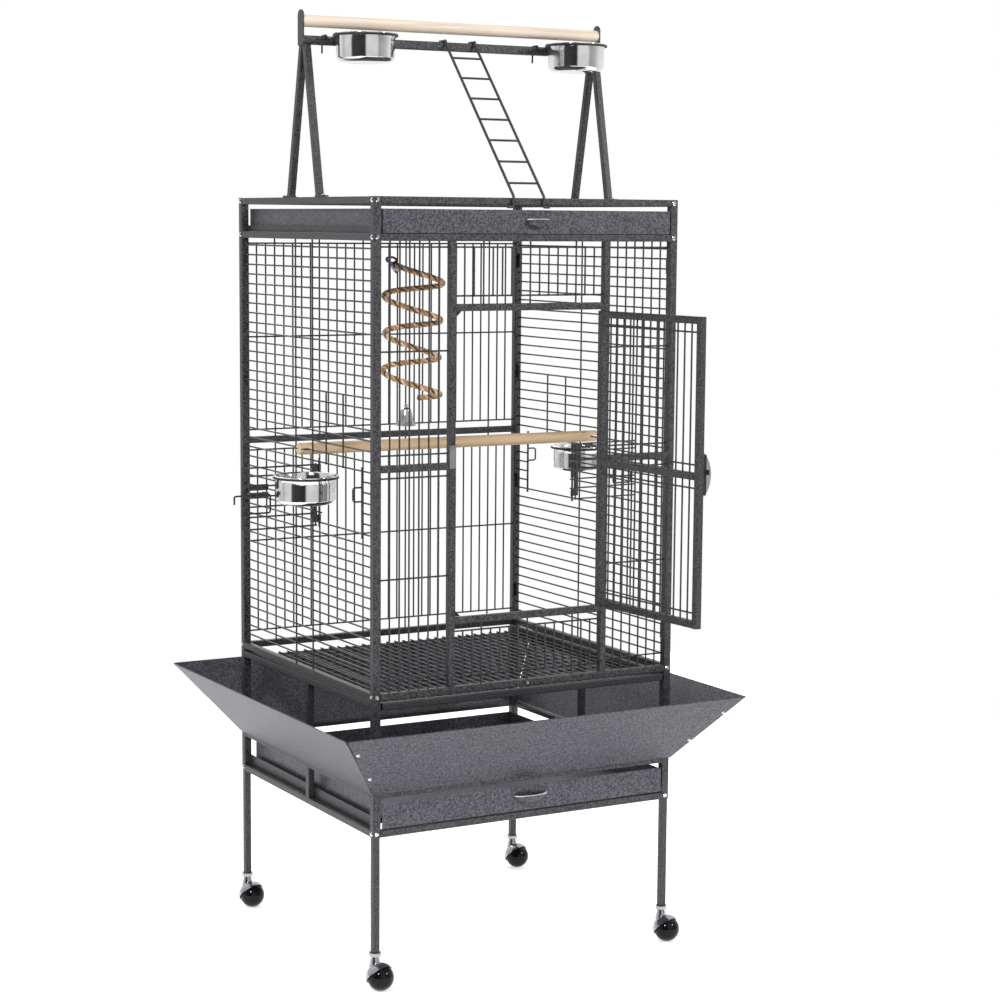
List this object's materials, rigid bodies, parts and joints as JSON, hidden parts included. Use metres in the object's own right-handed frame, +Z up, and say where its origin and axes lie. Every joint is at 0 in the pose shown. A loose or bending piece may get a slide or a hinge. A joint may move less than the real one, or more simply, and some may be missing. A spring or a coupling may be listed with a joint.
{
  "type": "bird cage on wheeled stand",
  "caption": "Tall wire bird cage on a rolling stand with an open front door, swing-out feeder bowls, pull-out trays, seed guards and a play stand with perch and ladder on top.",
  "frame": {"origin": "Point of the floor under the centre of the cage.", "axes": "+Z up, +X to the right seen from the front, front and main door towards -Y."},
  "size_m": [0.9612, 1.0065, 1.74],
  "materials": {
    "powder_coat": "hammered dark grey powder coat",
    "powder_coat_sheet": "veined dark grey powder coat on sheet",
    "chrome_plate": "bright plated",
    "stainless": "polished stainless steel",
    "caster_black": "gloss black",
    "clip_black": "matte",
    "pale_wood": "plain turned dowel",
    "toy_rope_fibre": "twisted coloured rope",
    "bell_metal": "plain"
  },
  "bodies": {
    "cage": {"a_frames": "powder_coat", "back_frame": "powder_coat", "back_wires": "powder_coat", "base_rails": "powder_coat", "corner_posts": "powder_coat", "door_hinges_fixed": "powder_coat", "front_frame": "powder_coat", "front_wires": "powder_coat", "inner_perch": "pale_wood", "latch_keeper": "chrome_plate", "legs": "powder_coat", "panel_clips": "clip_black", "perch_brackets": "powder_coat", "play_beam": "powder_coat", "roof_frame": "powder_coat", "roof_grille": "powder_coat", "screws": "chrome_plate", "seed_guard_back": "powder_coat_sheet", "seed_guard_front": "powder_coat_sheet", "seed_guard_left": "powder_coat_sheet", "seed_guard_right": "powder_coat_sheet", "side_frames": "powder_coat", "side_wires_left": "powder_coat", "side_wires_right": "powder_coat", "stand_sides": "powder_coat", "top_bowl_holders": "powder_coat", "top_perch": "pale_wood", "tray_ledge": "powder_coat", "tray_runners": "powder_coat"},
    "main_door": {"door_frame": "powder_coat", "door_bars": "powder_coat", "door_hinges_moving": "powder_coat", "door_latch_case": "powder_coat"},
    "door_latch": {"door_latch_lever": "chrome_plate"},
    "left_feeder_door": {"feeder_door_left": "powder_coat", "feeder_ring_left": "powder_coat"},
    "right_feeder_door": {"feeder_door_right": "powder_coat", "feeder_ring_right": "powder_coat"},
    "left_feeder_bolt": {"feeder_bolt_left": "powder_coat"},
    "right_feeder_bolt": {"feeder_bolt_right": "powder_coat"},
    "left_feeder_bowl": {"feeder_bowl_left": "stainless"},
    "right_feeder_bowl": {"feeder_bowl_right": "stainless"},
    "left_top_bowl": {"top_bowl_left": "stainless"},
    "right_top_bowl": {"top_bowl_right": "stainless"},
    "upper_tray": {"top_tray": "powder_coat_sheet"},
    "lower_tray": {"bottom_tray": "powder_coat_sheet"},
    "floor_grate": {"bottom_grate": "powder_coat"},
    "ladder_body": {"ladder": "powder_coat"},
    "hanging_toy": {"toy_rope": "toy_rope_fibre", "toy_clip": "chrome_plate", "toy_bell": "bell_metal"},
    "swivel_front_left": {"caster_hood_front_left": "chrome_plate"},
    "roller_front_left": {"caster_ball_front_left": "caster_black"},
    "swivel_front_right": {"caster_hood_front_right": "chrome_plate"},
    "roller_front_right": {"caster_ball_front_right": "caster_black"},
    "swivel_back_left": {"caster_hood_back_left": "chrome_plate"},
    "roller_back_left": {"caster_ball_back_left": "caster_black"},
    "swivel_back_right": {"caster_hood_back_right": "chrome_plate"},
    "roller_back_right": {"caster_ball_back_right": "caster_black"}
  },
  "joints": [
    {"name": "main_door_hinge", "type": "hinge", "parent": "cage", "child": "main_door", "pos_m": [0.15375, -0.2983, 0.933], "axis": [0, 0, 1], "range_deg": [-94, 78]},
    {"name": "door_latch_turn", "type": "hinge", "parent": "main_door", "child": "door_latch", "pos_m": [0.17605, -0.58855, 0.936], "axis": [-0.9976, -0.0698, 0], "range_deg": [-90, 0]},
    {"name": "left_feeder_hinge", "type": "hinge", "parent": "cage", "child": "left_feeder_door", "pos_m": [-0.3096, -0.066, 0.8662], "axis": [0, 0, 1], "range_deg": [-60, 87]},
    {"name": "left_feeder_bolt_turn", "type": "hinge", "parent": "left_feeder_door", "child": "left_feeder_bolt", "pos_m": [-0.42962, -0.06883, 0.871], "axis": [-0.9986, -0.0523, 0], "range_deg": [-100, 0]},
    {"name": "left_feeder_bowl_lift", "type": "slide", "parent": "left_feeder_door", "child": "left_feeder_bowl", "axis": [0, 0, 1], "range_m": [0, 0.08]},
    {"name": "right_feeder_hinge", "type": "hinge", "parent": "cage", "child": "right_feeder_door", "pos_m": [0.3096, 0.066, 0.8662], "axis": [0, 0, 1], "range_deg": [-60, 87]},
    {"name": "right_feeder_bolt_turn", "type": "hinge", "parent": "right_feeder_door", "child": "right_feeder_bolt", "pos_m": [0.42962, 0.06883, 0.871], "axis": [0.9986, 0.0523, 0], "range_deg": [-100, 0]},
    {"name": "right_feeder_bowl_lift", "type": "slide", "parent": "right_feeder_door", "child": "right_feeder_bowl", "axis": [0, 0, 1], "range_m": [0, 0.08]},
    {"name": "left_top_bowl_lift", "type": "slide", "parent": "cage", "child": "left_top_bowl", "axis": [0, 0, 1], "range_m": [0, 0.08]},
    {"name": "right_top_bowl_lift", "type": "slide", "parent": "cage", "child": "right_top_bowl", "axis": [0, 0, 1], "range_m": [0, 0.08]},
    {"name": "upper_tray_slide", "type": "slide", "parent": "cage", "child": "upper_tray", "axis": [0, -1, 0], "range_m": [0, 0.45]},
    {"name": "lower_tray_slide", "type": "slide", "parent": "cage", "child": "lower_tray", "axis": [0, -1, 0], "range_m": [0, 0.45]},
    {"name": "floor_grate_slide", "type": "slide", "parent": "cage", "child": "floor_grate", "axis": [0, -1, 0], "range_m": [0, 0.45]},
    {"name": "ladder_lift", "type": "hinge", "parent": "cage", "child": "ladder_body", "pos_m": [0.008, 0.0095, 1.697], "axis": [-1, 0, 0], "range_deg": [0, 10]},
    {"name": "toy_swing", "type": "hinge", "parent": "cage", "child": "hanging_toy", "pos_m": [-0.134, -0.1, 1.3308], "axis": [1, 0, 0], "range_deg": [-10, 10]},
    {"name": "caster_swivel_front_left", "type": "hinge", "parent": "cage", "child": "swivel_front_left", "pos_m": [-0.3048, -0.2876, 0.06], "axis": [0, 0, 1], "continuous": true},
    {"name": "caster_roll_front_left", "type": "hinge", "parent": "swivel_front_left", "child": "roller_front_left", "pos_m": [-0.3008, -0.3021, 0.024], "axis": [-0.1954, 0.6854, 0.7014], "continuous": true},
    {"name": "caster_swivel_front_right", "type": "hinge", "parent": "cage", "child": "swivel_front_right", "pos_m": [0.3048, -0.2876, 0.06], "axis": [0, 0, 1], "continuous": true},
    {"name": "caster_roll_front_right", "type": "hinge", "parent": "swivel_front_right", "child": "roller_front_right", "pos_m": [0.3088, -0.3021, 0.024], "axis": [-0.1954, 0.6854, 0.7014], "continuous": true},
    {"name": "caster_swivel_back_left", "type": "hinge", "parent": "cage", "child": "swivel_back_left", "pos_m": [-0.3048, 0.2876, 0.06], "axis": [0, 0, 1], "continuous": true},
    {"name": "caster_roll_back_left", "type": "hinge", "parent": "swivel_back_left", "child": "roller_back_left", "pos_m": [-0.3008, 0.2731, 0.024], "axis": [-0.1954, 0.6854, 0.7014], "continuous": true},
    {"name": "caster_swivel_back_right", "type": "hinge", "parent": "cage", "child": "swivel_back_right", "pos_m": [0.3048, 0.2876, 0.06], "axis": [0, 0, 1], "continuous": true},
    {"name": "caster_roll_back_right", "type": "hinge", "parent": "swivel_back_right", "child": "roller_back_right", "pos_m": [0.3088, 0.2731, 0.024], "axis": [-0.1954, 0.6854, 0.7014], "continuous": true}
  ]
}
